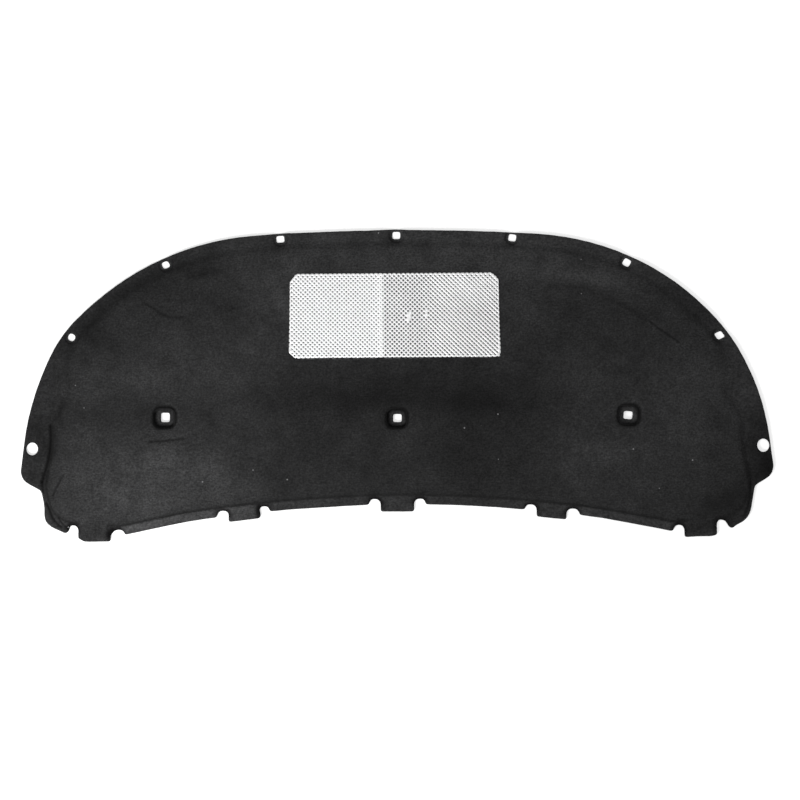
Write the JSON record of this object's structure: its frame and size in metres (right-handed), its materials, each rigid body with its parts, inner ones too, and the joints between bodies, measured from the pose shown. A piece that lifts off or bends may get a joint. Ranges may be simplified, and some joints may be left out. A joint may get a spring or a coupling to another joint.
{
  "type": "engine bay insulation pad",
  "caption": "Moulded black felt insulation pad for the underside of a bonnet, with clip holes, tabs along the rear edge and a perforated foil heat shield patch.",
  "frame": {"origin": "middle of the box around the pad, on its flat back face", "axes": "+X along the pad's length, +Y towards its curved front edge, +Z out of the side that faces the engine"},
  "size_m": [1.2758, 0.5244, 0.0151],
  "materials": {
    "black_felt": "matte",
    "aluminium_foil": "satin"
  },
  "bodies": {
    "root": {"felt_pad": "black_felt", "foil_heat_shield": "aluminium_foil"}
  },
  "joints": []
}
